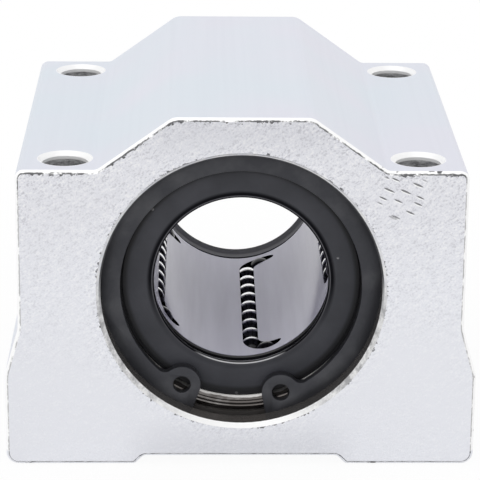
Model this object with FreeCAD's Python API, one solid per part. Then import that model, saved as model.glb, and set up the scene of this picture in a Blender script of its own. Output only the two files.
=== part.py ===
# Linear bearing block: a flanged housing that carries a recirculating-ball bushing between two circlips.
#
# Frame: millimetres, +Z up. The origin is on the shaft axis, halfway along the block, and +Y runs along
# the shaft, so the front end face looks towards -Y. Angles about the shaft are measured from straight down
# (-Z) towards +X. A half size is measured from the origin.
import FreeCAD, Part
import math
import os

# ---- Driving dimensions: bushing ------------------------------------------------------------------------
shaft_diameter = 20.0
bushing_diameter = 32.0
bushing_length = 42.0
bushing_edge_chamfer = 0.6
bushing_mouth_chamfer = 0.45
bushing_fit = 0.03                # radial clearance of the sleeve in the housing bore
snap_groove_width = 1.6           # the two grooves round the outside of the sleeve
snap_groove_land = 5.75           # outside of the sleeve between each end and its groove
snap_groove_depth = 0.75
land_overrun = 0.4                # raceway lands past the ends of the loaded rows
relief_taper_angle = 45.0         # from the lands out to the relieved ends

# ---- Driving dimensions: balls and their circuits -------------------------------------------------------
ball_share = 3.175 / 6.0          # ball diameter over the radial depth from the shaft to the sleeve's outside
ball_gap = 0.02                   # between neighbouring balls in the loaded row
race_clearance = 0.02             # between a loaded ball and its raceway land
circuit_count = 5
first_circuit_angle = 7.5         # loaded row nearest to straight down
return_row_angle = 26.5           # from a circuit's loaded row to its return row
return_depth = 0.8                # how much further out the return row runs
return_groove_clearance = 0.1     # round a returning ball in its groove of the sleeve
end_bore_clearance = 0.175        # radial, past the returning balls where they turn in the relieved ends

# ---- Driving dimensions: cage, inner rings and seals ----------------------------------------------------
cage_shaft_gap = 0.3              # radial, from the shaft to the cage
cage_sleeve_gap = 0.15            # radial, from the cage to the raceway lands
channel_clearance = 0.03          # round a ball in its channel of the cage
cage_end_wall = 0.45              # least wall between a turn of the channel and the cage's end
cage_edge_chamfer = 0.25
inner_ring_width = 0.8
inner_ring_radial_size = 1.9
inner_ring_groove_depth = 0.5
inner_ring_gap_angle = 24.0
axial_play = 0.05                 # on each side of the cage, the inner rings and the circlips
seal_width = 2.0
seal_recess = 0.2                 # from the sleeve's end face to the seal's face
seal_fit = 0.05                   # radial clearance of the seal in the end bore
seal_rim_width = 0.45
seal_rim_step = 0.25
seal_body_gap = 0.5               # radial, from the shaft to the seal's body
seal_lip_width = 0.35
seal_lip_setback = 0.9            # from the seal's face to its lip

# ---- Driving dimensions: circlips (internal retaining rings) --------------------------------------------
circlip_thickness = 1.2
circlip_groove_depth = 0.85
circlip_seat_clearance = 0.03
circlip_mid_width = 3.25          # radial width opposite the gap
circlip_end_width = 2.75          # radial width beside the lugs
lug_radius = 2.2
lug_hole_diameter = 2.0
lug_hole_depth_in = 2.85          # from the ring's outer edge to the centre of a lug hole
lug_spread_angle = 24.3           # from the middle of the gap to a lug hole
lug_blend_radius = 1.0
front_circlip_turn = -4.8         # where each gap's middle points
rear_circlip_turn = 12.0

# ---- Driving dimensions: housing block ------------------------------------------------------------------
circlip_end_land = 2.7            # housing wall outside each circlip groove
base_wall = 5.0                   # under the bore
crown_wall = 4.5                  # over the bore
crown_width = 15.6
crown_corner_radius = 1.8
shoulder_drop = 6.1               # from the crown down to the bolt shoulders
shoulder_corner_radius = 1.0
slope_foot_radius = 1.2
bolt_wall = 1.4                   # between the bore and a bolt hole
bolt_hole_diameter = 5.2          # clears an M5 screw, and is the drilling for an M6 thread from the base
bolt_edge_distance = 7.0          # from a bolt hole's centre to the flange's side
bolt_end_distance = 5.0           # from a bolt hole's centre to the end face
countersink_depth = 0.5
countersink_land = 0.6            # from a countersink to the foot of the slope
flange_height = 11.0
flange_step = 1.6                 # how far the flange stands out past the body's sides
flange_flare_height = 5.6
flange_blend_radius = 4.0
foot_width = 14.8
foot_corner_radius = 1.4
foot_inner_radius = 0.6
base_relief_depth = 1.0
base_relief_radius = 0.9
end_edge_chamfer = 0.4
bore_mouth_chamfer = 0.5

# ---- Sizes that follow ----------------------------------------------------------------------------------
shaft_radius = shaft_diameter / 2
bore_radius = bushing_diameter / 2
ball_diameter = ball_share * (bore_radius - shaft_radius)
ball_radius = ball_diameter / 2
channel_radius = ball_radius + channel_clearance
load_radius = shaft_radius + ball_radius
return_radius = load_radius + return_depth
land_radius = load_radius + ball_radius + race_clearance
end_bore_radius = return_radius + ball_radius + end_bore_clearance
cage_inner_radius = shaft_radius + cage_shaft_gap
cage_outer_radius = land_radius - cage_sleeve_gap

bushing_half_length = bushing_length / 2
circlip_groove_radius = bore_radius + circlip_groove_depth
circlip_groove_end = bushing_half_length + circlip_thickness + 2 * axial_play
block_half_length = circlip_groove_end + circlip_end_land

# Stacked inwards from each end of the sleeve: seal, inner ring in its groove, cage.
seal_face = bushing_half_length - seal_recess
inner_ring_groove_outer = seal_face - seal_width
inner_ring_groove_inner = inner_ring_groove_outer - inner_ring_width - 2 * axial_play
cage_half_length = inner_ring_groove_inner - axial_play

bolt_hole_radius = bolt_hole_diameter / 2
countersink_radius = bolt_hole_radius + countersink_depth
bolt_x = bore_radius + bolt_wall + bolt_hole_radius
bolt_y = block_half_length - bolt_end_distance
block_half_width = bolt_x + bolt_edge_distance
body_half_width = block_half_width - flange_step
base_level = -(bore_radius + base_wall)
relief_level = base_level + base_relief_depth
crown_level = bore_radius + crown_wall
shoulder_level = crown_level - shoulder_drop
flange_level = base_level + flange_height
slope_foot_x = bolt_x - countersink_radius - countersink_land

SHAFT_AXIS = FreeCAD.Vector(0, 1, 0)
UP = FreeCAD.Vector(0, 0, 1)
ORIGIN = FreeCAD.Vector(0, 0, 0)


# ---- Geometry helpers -----------------------------------------------------------------------------------
def radial(angle):
    """Unit vector out from the shaft axis, at an angle from straight down towards +X."""
    turn = math.radians(angle)
    return FreeCAD.Vector(math.sin(turn), 0, -math.cos(turn))


def both_ends(half_profile):
    """A profile of (radius, y) points that runs to mid-length, continued as its mirror image."""
    return half_profile + [(radius, -y) for radius, y in reversed(half_profile)]


def turned(profile):
    """Solid of revolution about the shaft axis from a closed outline of (radius, y) points."""
    points = [FreeCAD.Vector(radius, y, 0) for radius, y in profile]
    section = Part.Face(Part.makePolygon(points + points[:1]))
    return section.revolve(ORIGIN, SHAFT_AXIS, 360)


def rounded_outline(corners):
    """Closed wire across the shaft axis from (x, z, radius) corners, each rounded by a tangent arc."""
    points = [FreeCAD.Vector(x, 0, z) for x, z, _ in corners]
    arcs = []
    for i, (x, z, radius) in enumerate(corners):
        here = points[i]
        back = (points[i - 1] - here).normalize()
        ahead = (points[(i + 1) % len(points)] - here).normalize()
        half_angle = back.getAngle(ahead) / 2
        reach = radius / math.tan(half_angle)
        middle = (back + ahead).normalize()
        nearest = radius / math.sin(half_angle) - radius
        arcs.append((here + back * reach, here + middle * nearest, here + ahead * reach))
    edges = []
    for i, (start, middle, end) in enumerate(arcs):
        edges.append(Part.Arc(start, middle, end).toShape())
        edges.append(Part.LineSegment(end, arcs[(i + 1) % len(arcs)][0]).toShape())
    return Part.Wire(edges)


def gap_wedge(half_angle, reach, y_start, y_end):
    """Wedge of space round straight down, which opens a ring."""
    corners = [ORIGIN, radial(-half_angle) * reach, radial(half_angle) * reach, ORIGIN]
    face = Part.Face(Part.makePolygon(corners))
    face.translate(SHAFT_AXIS * y_start)
    return face.extrude(SHAFT_AXIS * (y_end - y_start))


# ---- Housing block --------------------------------------------------------------------------------------
def housing_section():
    """Extruded section of the block: crown, slopes, bolt shoulders, flared flange and relieved base."""
    right_side = [
        (crown_width / 2, crown_level, crown_corner_radius),
        (slope_foot_x, shoulder_level, slope_foot_radius),
        (body_half_width, shoulder_level, shoulder_corner_radius),
        (body_half_width, flange_level + flange_flare_height, flange_blend_radius),
        (block_half_width, flange_level, flange_blend_radius),
        (block_half_width, base_level, foot_corner_radius),
        (block_half_width - foot_width, base_level, foot_inner_radius),
        (block_half_width - foot_width - base_relief_depth, relief_level, base_relief_radius),
    ]
    left_side = [(-x, z, radius) for x, z, radius in reversed(right_side)]
    return Part.Face(rounded_outline(right_side + left_side))


def housing_bore():
    """Space bored for the sleeve, with a circlip groove near each end and chamfered mouths."""
    return turned(both_ends([
        (0, -block_half_length),
        (bore_radius + bore_mouth_chamfer, -block_half_length),
        (bore_radius, -block_half_length + bore_mouth_chamfer),
        (bore_radius, -circlip_groove_end),
        (circlip_groove_radius, -circlip_groove_end),
        (circlip_groove_radius, -bushing_half_length),
        (bore_radius, -bushing_half_length),
    ]))


def bolt_hole(x, y):
    """Through hole from a shoulder to the base, countersunk at both ends."""
    floor = FreeCAD.Vector(x, y, base_level)
    ceiling = FreeCAD.Vector(x, y, shoulder_level)
    drilled = Part.makeCylinder(bolt_hole_radius, shoulder_level - base_level, floor, UP)
    lower = Part.makeCone(countersink_radius, bolt_hole_radius, countersink_depth, floor, UP)
    upper = Part.makeCone(countersink_radius, bolt_hole_radius, countersink_depth, ceiling, -UP)
    return drilled.fuse([lower, upper])


def housing_block():
    """Aluminium block, cut from one extrusion."""
    section = housing_section()
    section.translate(SHAFT_AXIS * -block_half_length)
    block = section.extrude(SHAFT_AXIS * (2 * block_half_length))
    end_edges = [edge for edge in block.Edges if edge.BoundBox.YLength < end_edge_chamfer]
    block = block.makeChamfer(end_edge_chamfer, end_edges)
    holes = [bolt_hole(x, y) for x in (-bolt_x, bolt_x) for y in (-bolt_y, bolt_y)]
    return block.cut([housing_bore()] + holes)


# ---- Circlips -------------------------------------------------------------------------------------------
def circlip(turn, y_start):
    """Internal retaining ring: a band that narrows towards two drilled lugs beside the gap."""
    thickness = circlip_thickness
    outer_radius = circlip_groove_radius - circlip_seat_clearance
    inner_radius = outer_radius - (circlip_mid_width + circlip_end_width) / 2
    inner_centre = radial(0) * ((circlip_mid_width - circlip_end_width) / 2)
    lug_centre_radius = outer_radius - lug_hole_depth_in
    gap_half_angle = lug_spread_angle - math.degrees(math.asin(lug_radius / lug_centre_radius))
    tangent_radius = math.sqrt(lug_centre_radius ** 2 - lug_radius ** 2)

    disc = Part.makeCylinder(outer_radius, thickness, ORIGIN, SHAFT_AXIS)
    gap = gap_wedge(gap_half_angle, 2 * outer_radius, 0, thickness)
    band = disc.cut([Part.makeCylinder(inner_radius, thickness, inner_centre, SHAFT_AXIS), gap])
    lug_sector = disc.common(gap_wedge(lug_spread_angle, 2 * outer_radius, 0, thickness))
    lug_roots = lug_sector.cut([Part.makeCylinder(tangent_radius, thickness, ORIGIN, SHAFT_AXIS), gap])
    lug_centres = [radial(side * lug_spread_angle) * lug_centre_radius for side in (-1, 1)]
    lugs = [Part.makeCylinder(lug_radius, thickness, centre, SHAFT_AXIS) for centre in lug_centres]
    ring = band.fuse([lug_roots] + lugs).removeSplitter()

    blend_edges = [edge for edge in ring.Edges if is_lug_blend(edge, outer_radius)]
    ring = ring.makeFillet(lug_blend_radius, blend_edges)
    hole_radius = lug_hole_diameter / 2
    ring = ring.cut([Part.makeCylinder(hole_radius, thickness, centre, SHAFT_AXIS) for centre in lug_centres])
    ring.rotate(ORIGIN, SHAFT_AXIS, -turn)
    ring.translate(SHAFT_AXIS * y_start)
    return ring


def is_lug_blend(edge, outer_radius):
    """True for the inner corner where a lug grows out of the band, on the side away from the gap."""
    across_thickness = edge.BoundBox.YLength > 0.99 * circlip_thickness
    middle = edge.BoundBox.Center
    from_gap = math.degrees(math.atan2(abs(middle.x), -middle.z))
    inside = math.hypot(middle.x, middle.z) < outer_radius - circlip_end_width / 2
    straight = edge.BoundBox.XLength + edge.BoundBox.ZLength < 0.01
    return across_thickness and straight and inside and lug_spread_angle < from_gap < 90


# ---- Ball circuits --------------------------------------------------------------------------------------
def balls(centres):
    """Separate steel balls, one at each centre."""
    return Part.Compound([Part.makeSphere(ball_radius, centre) for centre in centres])


class Circuit:
    """Closed track of one ring of balls: a loaded row, a return row further out, and a turn at each end."""

    def __init__(self, angle):
        self.load = radial(angle) * load_radius
        self.back = radial(angle + return_row_angle) * return_radius
        self.middle = (self.load + self.back) * 0.5
        self.across = (self.back - self.load).normalize()
        self.outward = SHAFT_AXIS.cross(self.across)
        self.turn_radius = (self.back - self.load).Length / 2

        pitch = ball_diameter + ball_gap
        longest_row = 2 * (cage_half_length - cage_end_wall - channel_radius - self.turn_radius)
        row_gaps = int(longest_row / pitch)
        self.row_half_length = row_gaps * pitch / 2
        self.load_steps = [(i - row_gaps / 2) * pitch for i in range(row_gaps + 1)]

        # On a turn, neighbours are one pitch apart in a straight line.
        turn_step = 2 * math.asin(pitch / (2 * self.turn_radius))
        self.turn_angles = [turn_step * (i + 1) for i in range(int(math.pi / turn_step))]
        last = self.turn_angles[-1]
        aside = self.turn_radius * (1 + math.cos(last))
        back_along = math.sqrt(pitch ** 2 - aside ** 2)
        return_half_length = self.row_half_length + self.turn_radius * math.sin(last) - back_along
        return_gaps = int(2 * return_half_length / pitch)
        return_pitch = 2 * return_half_length / return_gaps
        self.return_steps = [(i - return_gaps / 2) * return_pitch for i in range(return_gaps + 1)]

    def turn_centre(self, end):
        """Centre of the turn at an end (-1 front, 1 rear)."""
        return self.middle + SHAFT_AXIS * (end * self.row_half_length)

    def channel_section(self, centre):
        """Round-bottomed slot section, square to the track and open away from the shaft."""
        near = centre - self.across * channel_radius
        far = centre + self.across * channel_radius
        rise = self.outward * ball_diameter
        return Part.Face(Part.Wire([
            Part.Arc(near, centre - self.outward * channel_radius, far).toShape(),
            Part.LineSegment(far, far + rise).toShape(),
            Part.LineSegment(far + rise, near + rise).toShape(),
            Part.LineSegment(near + rise, near).toShape(),
        ]))

    def channel(self):
        """Space that the track takes out of the cage."""
        front = SHAFT_AXIS * -self.row_half_length
        length = SHAFT_AXIS * (2 * self.row_half_length)
        stretches = [self.channel_section(row + front).extrude(length) for row in (self.load, self.back)]
        for end in (-1, 1):
            start = self.channel_section(self.load + SHAFT_AXIS * (end * self.row_half_length))
            stretches.append(start.revolve(self.turn_centre(end), self.outward * end, 180))
        return stretches[0].fuse(stretches[1:])

    def return_groove(self, half_length):
        """Space for the return row in the sleeve's raceway lands."""
        start = self.back - SHAFT_AXIS * half_length
        return Part.makeCylinder(ball_radius + return_groove_clearance, 2 * half_length, start, SHAFT_AXIS)

    def row_balls(self, row, steps):
        """Balls along a straight row."""
        return balls([row + SHAFT_AXIS * step for step in steps])

    def turn_balls(self, end):
        """Balls on the turn at an end."""
        forward = SHAFT_AXIS * end
        swings = [forward * math.sin(angle) - self.across * math.cos(angle) for angle in self.turn_angles]
        return balls([self.turn_centre(end) + swing * self.turn_radius for swing in swings])


# ---- Bushing --------------------------------------------------------------------------------------------
def bearing_sleeve(circuits):
    """Hardened outer sleeve: raceway lands inside, return grooves between them, relieved ends."""
    outer_radius = bore_radius - bushing_fit
    groove_outer = bushing_half_length - snap_groove_land
    groove_inner = groove_outer - snap_groove_width
    ring_groove_radius = end_bore_radius + inner_ring_groove_depth
    land_half_length = circuits[0].row_half_length + land_overrun
    taper_length = (end_bore_radius - land_radius) / math.tan(math.radians(relief_taper_angle))
    relief_start = land_half_length + taper_length

    outside = both_ends([
        (outer_radius - bushing_edge_chamfer, -bushing_half_length),
        (outer_radius, -bushing_half_length + bushing_edge_chamfer),
        (outer_radius, -groove_outer),
        (outer_radius - snap_groove_depth, -groove_outer),
        (outer_radius - snap_groove_depth, -groove_inner),
        (outer_radius, -groove_inner),
    ])
    inside = both_ends([
        (end_bore_radius + bushing_mouth_chamfer, -bushing_half_length),
        (end_bore_radius, -bushing_half_length + bushing_mouth_chamfer),
        (end_bore_radius, -inner_ring_groove_outer),
        (ring_groove_radius, -inner_ring_groove_outer),
        (ring_groove_radius, -inner_ring_groove_inner),
        (end_bore_radius, -inner_ring_groove_inner),
        (end_bore_radius, -relief_start),
        (land_radius, -land_half_length),
    ])
    sleeve = turned(outside + inside[::-1])
    return sleeve.cut([circuit.return_groove(relief_start) for circuit in circuits])


def ball_cage(circuits):
    """Cage that guides the balls: each loaded row shows through a slot that fades out along its turns."""
    edge = cage_edge_chamfer
    cage = turned([
        (cage_inner_radius, -cage_half_length + edge),
        (cage_inner_radius + edge, -cage_half_length),
        (cage_outer_radius - edge, -cage_half_length),
        (cage_outer_radius, -cage_half_length + edge),
        (cage_outer_radius, cage_half_length - edge),
        (cage_outer_radius - edge, cage_half_length),
        (cage_inner_radius + edge, cage_half_length),
        (cage_inner_radius, cage_half_length - edge),
    ])
    return cage.cut([circuit.channel() for circuit in circuits])


def seal(end):
    """Rubber end seal (-1 front, 1 rear): a stiff body with a thin lip that wipes the shaft."""
    body_radius = shaft_radius + seal_body_gap
    outer_radius = end_bore_radius - seal_fit
    rim_radius = outer_radius - seal_rim_width
    lip_face = seal_face - seal_lip_setback
    lip_root = seal_lip_width / 2
    outline = [
        (body_radius, seal_face),
        (rim_radius, seal_face),
        (rim_radius, seal_face - seal_rim_step),
        (outer_radius, seal_face - seal_rim_step),
        (outer_radius, seal_face - seal_width),
        (body_radius, seal_face - seal_width),
        (body_radius, lip_face - seal_lip_width - lip_root),
        (shaft_radius, lip_face - seal_lip_width),
        (shaft_radius, lip_face),
        (body_radius, lip_face + lip_root),
    ]
    return turned([(radius, end * y) for radius, y in outline])


def inner_ring(end):
    """Open ring in the sleeve's end bore that keeps the cage in (-1 front, 1 rear)."""
    outer_radius = end_bore_radius + inner_ring_groove_depth - axial_play
    inner_radius = outer_radius - inner_ring_radial_size
    start = inner_ring_groove_inner + axial_play
    finish = start + inner_ring_width
    outline = [(inner_radius, start), (outer_radius, start), (outer_radius, finish), (inner_radius, finish)]
    ring = turned([(radius, end * y) for radius, y in outline])
    return ring.cut(gap_wedge(inner_ring_gap_angle / 2, 2 * outer_radius, end * start, end * finish))


# ---- All pieces -----------------------------------------------------------------------------------------
def all_pieces():
    """Every separate piece, by its name."""
    circuits = [Circuit(first_circuit_angle + 360 * i / circuit_count) for i in range(circuit_count)]
    clip_start = bushing_half_length + axial_play
    pieces = {
        "housing_block": housing_block(),
        "front_circlip": circlip(front_circlip_turn, -clip_start - circlip_thickness),
        "rear_circlip": circlip(rear_circlip_turn, clip_start),
        "bearing_sleeve": bearing_sleeve(circuits),
        "ball_cage": ball_cage(circuits),
        "front_inner_ring": inner_ring(-1),
        "rear_inner_ring": inner_ring(1),
        "front_seal": seal(-1),
        "rear_seal": seal(1),
    }
    for number, circuit in enumerate(circuits, start=1):
        pieces[f"load_balls_{number}"] = circuit.row_balls(circuit.load, circuit.load_steps)
        pieces[f"return_balls_{number}"] = circuit.row_balls(circuit.back, circuit.return_steps)
        pieces[f"front_turn_balls_{number}"] = circuit.turn_balls(-1)
        pieces[f"rear_turn_balls_{number}"] = circuit.turn_balls(1)
    return pieces


os.makedirs("parts", exist_ok=True)
for name, shape in all_pieces().items():
    shape.exportStep(f"parts/{name}.step")
    print(f"{name}: {len(shape.Solids)} solid(s), {shape.Volume / 1000:.3f} cm3, valid {shape.isValid()}")
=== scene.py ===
"""Studio scene of a linear bearing block: an aluminium block with a ball bushing held by two circlips."""

import logging
import math
from dataclasses import dataclass
from enum import Enum
from typing import Any

import bpy
from mathutils import Matrix, Vector

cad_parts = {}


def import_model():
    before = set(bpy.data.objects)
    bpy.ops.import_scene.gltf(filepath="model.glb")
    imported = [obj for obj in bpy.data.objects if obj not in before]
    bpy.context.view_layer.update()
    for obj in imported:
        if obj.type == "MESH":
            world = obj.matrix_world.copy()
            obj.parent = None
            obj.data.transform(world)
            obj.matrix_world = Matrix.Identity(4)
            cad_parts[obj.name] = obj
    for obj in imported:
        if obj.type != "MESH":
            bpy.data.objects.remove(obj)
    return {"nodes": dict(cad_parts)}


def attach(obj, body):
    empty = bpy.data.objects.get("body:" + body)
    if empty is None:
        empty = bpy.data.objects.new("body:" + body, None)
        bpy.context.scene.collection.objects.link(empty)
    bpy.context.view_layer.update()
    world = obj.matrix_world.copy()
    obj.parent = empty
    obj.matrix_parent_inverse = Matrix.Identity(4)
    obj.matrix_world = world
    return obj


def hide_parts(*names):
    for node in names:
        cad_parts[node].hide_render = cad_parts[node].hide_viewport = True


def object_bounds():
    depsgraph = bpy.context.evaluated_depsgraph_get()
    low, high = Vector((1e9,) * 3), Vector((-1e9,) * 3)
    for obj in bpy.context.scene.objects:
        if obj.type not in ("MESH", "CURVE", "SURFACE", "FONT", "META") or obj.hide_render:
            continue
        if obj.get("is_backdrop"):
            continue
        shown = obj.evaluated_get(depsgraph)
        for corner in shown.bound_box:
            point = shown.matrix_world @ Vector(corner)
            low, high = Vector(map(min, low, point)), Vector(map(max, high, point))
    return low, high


LOG = logging.getLogger("linear_bearing_block")
MM = 0.001
BODY = "root"
Colour = tuple[float, float, float]
Point = tuple[float, float, float]
Socket = bpy.types.NodeSocket
Piece = bpy.types.Object


# ---- Material recipes ----
class Axis(Enum):
    """Axes of the part: X across the block, Y along the shaft, Z up."""

    X = "X"
    Y = "Y"
    Z = "Z"


class Blend(Enum):
    """How two colours are put together."""

    MIX = "MIX"
    MULTIPLY = "MULTIPLY"


class Sum(Enum):
    """Arithmetic on one or two values."""

    ADD = "ADD"
    SUBTRACT = "SUBTRACT"
    MULTIPLY = "MULTIPLY"
    MAXIMUM = "MAXIMUM"
    MINIMUM = "MINIMUM"
    ABSOLUTE = "ABSOLUTE"
    SQUARE_ROOT = "SQRT"
    SINE = "SINE"


class Recipe:
    """A node material in the making, with one shader and patterns in object coordinates."""

    def __init__(self, name: str, roughness: float, metallic: float = 0.0) -> None:
        """Start a material.

        Args:
            name: The material's name.
            roughness: Roughness of the bare shader.
            metallic: How far the surface is bare metal, from 0 to 1.
        """
        self.material = bpy.data.materials.new(name)
        self.material.use_nodes = True
        self.tree = self.material.node_tree
        self.shader = self.tree.nodes["Principled BSDF"]
        self.shader.inputs["Roughness"].default_value = roughness
        self.shader.inputs["Metallic"].default_value = metallic
        self.place = self.node("ShaderNodeTexCoord").outputs["Object"]

    def node(self, kind: str, **settings: Any) -> bpy.types.Node:
        """Add a node and set its properties.

        Args:
            kind: Blender's name of the node type.
            settings: Properties of the node.

        Returns:
            The new node.
        """
        made = self.tree.nodes.new(kind)
        for key, value in settings.items():
            setattr(made, key, value)
        return made

    def join(self, source: Socket | float | Colour, target: Socket) -> None:
        """Link a socket to another, or set a constant on it.

        Args:
            source: The socket that gives the value, or the value itself.
            target: The socket that takes it.
        """
        if isinstance(source, bpy.types.NodeSocket):
            self.tree.links.new(source, target)
        elif isinstance(source, tuple):
            target.default_value = (*source, 1.0)
        else:
            target.default_value = source

    def part(self, vector: Socket, axis: Axis) -> Socket:
        """One part of a vector.

        Args:
            vector: The vector.
            axis: The axis of the part.

        Returns:
            The part.
        """
        split = self.node("ShaderNodeSeparateXYZ")
        self.join(vector, split.inputs["Vector"])
        return split.outputs[axis.value]

    def coordinate(self, axis: Axis) -> Socket:
        """Object coordinate along an axis, in metres."""
        return self.part(self.place, axis)

    def away(self, axis: Axis) -> Socket:
        """Distance from the part's middle along an axis, either way, in metres."""
        return self.sum(Sum.ABSOLUTE, self.coordinate(axis))

    def radius(self) -> Socket:
        """Distance from the shaft axis, in metres."""
        return self.diagonal(self.coordinate(Axis.X), self.coordinate(Axis.Z))

    def facing(self, axis: Axis) -> Socket:
        """How squarely the surface faces along an axis, either way, from 0 to 1."""
        normal = self.node("ShaderNodeNewGeometry").outputs["True Normal"]
        return self.sum(Sum.ABSOLUTE, self.part(normal, axis))

    def stretched(
        self, size: Point, turn: Point = (0.0, 0.0, 0.0), place: Socket | None = None, lift: float = 0.0
    ) -> Socket:
        """Coordinates for a pattern that is drawn out along its own axes.

        Args:
            size: How much longer the pattern is along its X, Y and Z.
            turn: Turn of the pattern's axes about X, Y and Z, in radians.
            place: Coordinates to stretch, or None for the object's own.
            lift: How far the pattern moves along Y, in metres.

        Returns:
            The stretched coordinates.
        """
        mapping = self.node("ShaderNodeMapping", vector_type="TEXTURE")
        mapping.inputs["Scale"].default_value = size
        mapping.inputs["Rotation"].default_value = turn
        mapping.inputs["Location"].default_value = (0.0, lift, 0.0)
        self.join(place or self.place, mapping.inputs["Vector"])
        return mapping.outputs["Vector"]

    def on_face(self, size: tuple[float, float], turn: float = 0.0, lift: float = 0.0) -> Socket:
        """Coordinates across an end face, for a pattern that is drawn out along its own axes.

        Args:
            size: How much longer the pattern is along its two axes.
            turn: Turn of the pattern in the face, in radians.
            lift: How far up the face the pattern moves, in metres.

        Returns:
            The coordinates, across and up, as the first two parts of a vector.
        """
        flat = self.node("ShaderNodeCombineXYZ")
        self.join(self.coordinate(Axis.X), flat.inputs["X"])
        self.join(self.coordinate(Axis.Z), flat.inputs["Y"])
        return self.stretched((*size, 1.0), (0.0, 0.0, turn), flat.outputs["Vector"], lift)

    def noise(
        self, scale: float, detail: float = 3.0, roughness: float = 0.5, place: Socket | None = None
    ) -> Socket:
        """Soft random pattern.

        Args:
            scale: Repeats to the metre.
            detail: Octaves of finer pattern.
            roughness: Weight of the finer octaves.
            place: Coordinates to read, or None for the object's own.

        Returns:
            A value from 0 to 1.
        """
        made = self.node("ShaderNodeTexNoise")
        made.inputs["Scale"].default_value = scale
        made.inputs["Detail"].default_value = detail
        made.inputs["Roughness"].default_value = roughness
        self.join(place or self.place, made.inputs["Vector"])
        return made.outputs["Fac"]

    def cells(self, scale: float, place: Socket) -> Socket:
        """Distance to the nearest of many points scattered over a plane.

        Args:
            scale: Points to the metre.
            place: Coordinates in the plane.

        Returns:
            The distance, where 1 is the usual spacing of the points.
        """
        made = self.node("ShaderNodeTexVoronoi", voronoi_dimensions="2D")
        made.inputs["Scale"].default_value = scale
        self.join(place, made.inputs["Vector"])
        return made.outputs["Distance"]

    def window(self, value: Socket, low: float, high: float) -> Socket:
        """Value stretched so that low becomes 0 and high becomes 1, and held there.

        Args:
            value: What to stretch. A window wider than the value's own range weakens it.
            low: Where the result is 0. It may be above high, which turns the result round.
            high: Where the result is 1.

        Returns:
            The stretched value.
        """
        made = self.node("ShaderNodeMapRange", clamp=True)
        made.inputs["From Min"].default_value = low
        made.inputs["From Max"].default_value = high
        self.join(value, made.inputs["Value"])
        return made.outputs["Result"]

    def sum(self, how: Sum, first: Socket | float, second: Socket | float = 0.0) -> Socket:
        """Arithmetic on one or two values.

        Args:
            how: What is done with them.
            first: The first value.
            second: The second value, if the sum takes two.

        Returns:
            The result.
        """
        made = self.node("ShaderNodeMath", operation=how.value)
        self.join(first, made.inputs[0])
        self.join(second, made.inputs[1])
        return made.outputs["Value"]

    def plus(self, first: Socket | float, second: Socket | float) -> Socket:
        """The two values together."""
        return self.sum(Sum.ADD, first, second)

    def minus(self, first: Socket | float, second: Socket | float) -> Socket:
        """The first value less the second."""
        return self.sum(Sum.SUBTRACT, first, second)

    def times(self, first: Socket | float, second: Socket | float) -> Socket:
        """Product of two values, which is where both masks hold."""
        return self.sum(Sum.MULTIPLY, first, second)

    def larger(self, first: Socket | float, second: Socket | float) -> Socket:
        """The larger of two values, which is where either mask holds."""
        return self.sum(Sum.MAXIMUM, first, second)

    def smaller(self, first: Socket | float, second: Socket | float) -> Socket:
        """The smaller of two values."""
        return self.sum(Sum.MINIMUM, first, second)

    def diagonal(self, first: Socket, second: Socket) -> Socket:
        """Length of the diagonal over two sides."""
        return self.sum(Sum.SQUARE_ROOT, self.plus(self.times(first, first), self.times(second, second)))

    def blend(
        self, share: Socket, first: Socket | Colour, second: Socket | Colour, how: Blend = Blend.MIX
    ) -> Socket:
        """Put two colours together.

        Args:
            share: How much of the second shows, from 0 to 1.
            first: Colour underneath.
            second: Colour on top.
            how: The way they mix.

        Returns:
            The resulting colour.
        """
        made = self.node("ShaderNodeMix", data_type="RGBA", blend_type=how.value)
        factor, under, over = made.inputs[0], made.inputs[6], made.inputs[7]
        self.join(share, factor)
        self.join(first, under)
        self.join(second, over)
        return made.outputs[2]

    def finish(self, colour: Socket, roughness: Socket | None, height: Socket | None, depth: float) -> None:
        """Wire the patterns into the shader.

        Args:
            colour: Base colour.
            roughness: Patterned roughness, or None to keep the constant.
            height: Pattern of the relief, or None for a smooth surface.
            depth: Full height of the relief, in metres.
        """
        self.join(colour, self.shader.inputs["Base Color"])
        if roughness is not None:
            self.join(roughness, self.shader.inputs["Roughness"])
        if height is not None:
            bump = self.node("ShaderNodeBump")
            bump.inputs["Distance"].default_value = depth
            self.join(height, bump.inputs["Height"])
            self.join(bump.outputs["Normal"], self.shader.inputs["Normal"])


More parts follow.
